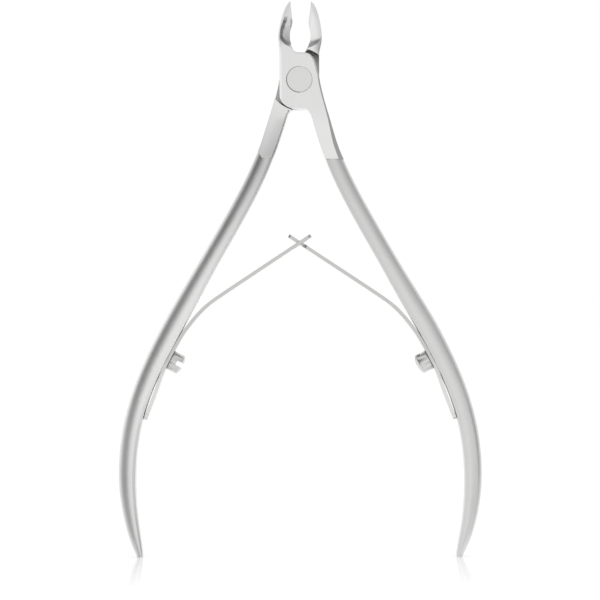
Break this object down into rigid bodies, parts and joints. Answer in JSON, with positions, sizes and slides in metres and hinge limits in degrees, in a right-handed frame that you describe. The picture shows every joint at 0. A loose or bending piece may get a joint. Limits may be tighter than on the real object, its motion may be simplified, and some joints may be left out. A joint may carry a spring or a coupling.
{
  "type": "cuticle nipper",
  "caption": "Hand-held cuticle nipper: lap-jointed steel levers with short hollow-ground jaws, bowed handles and crossed leaf springs that hold it open.",
  "frame": {"origin": "on the pivot axis, at the flat back face of the lap joint", "axes": "+Z from the handle tips to the jaw tips, +Y out of the flat back face, +X to the right seen from the hollow-ground front"},
  "size_m": [0.0664, 0.0052, 0.1017],
  "materials": {
    "front_lever": "satin",
    "back_lever": "satin",
    "pivot_rivet": "fine ground",
    "left_spring_base": "bright rolled",
    "left_spring_leaf": "bright rolled",
    "right_spring_base": "bright rolled",
    "right_spring_leaf": "bright rolled",
    "left_spring_screw": "polished",
    "right_spring_screw": "polished"
  },
  "bodies": {
    "front_lever": {"front_lever": "front_lever", "pivot_rivet": "pivot_rivet", "right_spring_base": "right_spring_base", "right_spring_screw": "right_spring_screw"},
    "back_lever": {"back_lever": "back_lever", "left_spring_base": "left_spring_base", "left_spring_screw": "left_spring_screw"},
    "left_leaf": {"left_spring_leaf": "left_spring_leaf"},
    "right_leaf": {"right_spring_leaf": "right_spring_leaf"}
  },
  "joints": [
    {"name": "handle_pivot", "type": "hinge", "parent": "front_lever", "child": "back_lever", "pos_m": [0, -0.0026, 0], "axis": [0, -1, 0], "range_deg": [0, 15], "stiffness_Nm_per_rad": 0.6, "springref_deg": -2.01},
    {"name": "left_spring_flex", "type": "hinge", "parent": "back_lever", "child": "left_leaf", "pos_m": [-0.019, -0.0026, -0.04317], "axis": [0, -1, 0], "range_deg": [0, 12.7]},
    {"name": "right_spring_flex", "type": "hinge", "parent": "front_lever", "child": "right_leaf", "pos_m": [0.019, -0.0026, -0.04317], "axis": [0, 1, 0], "range_deg": [0, 12.7]}
  ],
  "couplings": [
    {"joint": "left_spring_flex", "follows": "handle_pivot", "ratio": 0.8401},
    {"joint": "right_spring_flex", "follows": "handle_pivot", "ratio": 0.8401}
  ]
}
